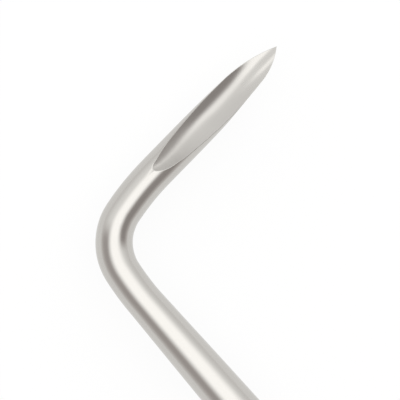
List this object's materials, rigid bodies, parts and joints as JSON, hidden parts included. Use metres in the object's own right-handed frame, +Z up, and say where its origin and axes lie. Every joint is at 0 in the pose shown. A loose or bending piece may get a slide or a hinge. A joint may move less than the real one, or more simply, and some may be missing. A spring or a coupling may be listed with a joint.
{
  "type": "dental elevator",
  "caption": "Dental root elevator with a pointed, hollow-ground blade turned 85 degrees on a round shank, and a faceted hollow steel handle with silicone grip rings.",
  "frame": {"origin": "middle of the handle flat that the instrument rests on", "axes": "+X runs along the handle towards the working end, +Z is up out of the resting flat and is the way the blade's hollow face looks, and the arm turns to -Y"},
  "size_m": [0.1504, 0.0326, 0.012],
  "materials": {
    "blade_steel": "fine polished stainless steel",
    "handle_steel": "satin stainless steel, turned bands brighter",
    "cap_steel": "polished stainless steel",
    "nose_steel": "polished stainless steel",
    "pin_steel": "ground steel pin, end faces fine turned",
    "bush_brass": "turned brass",
    "fastener_steel": "plain machined stainless steel",
    "grip_silicone": "matte dark blue-grey silicone",
    "seal_silicone": "matte red-brown silicone"
  },
  "bodies": {
    "root": {"working_end": "blade_steel", "handle_tube": "handle_steel", "nose_ferrule": "nose_steel", "nose_seal": "seal_silicone", "shank_seal": "seal_silicone", "tang_bush": "bush_brass", "flat_washer": "fastener_steel", "spring_washer": "fastener_steel", "tang_nut": "fastener_steel", "lock_pin": "pin_steel", "end_cap": "cap_steel", "cap_seal": "seal_silicone", "grip_ring_1": "grip_silicone", "grip_ring_2": "grip_silicone", "grip_ring_3": "grip_silicone", "grip_ring_4": "grip_silicone", "grip_ring_5": "grip_silicone", "grip_ring_6": "grip_silicone", "grip_ring_7": "grip_silicone", "grip_ring_8": "grip_silicone"}
  },
  "joints": []
}
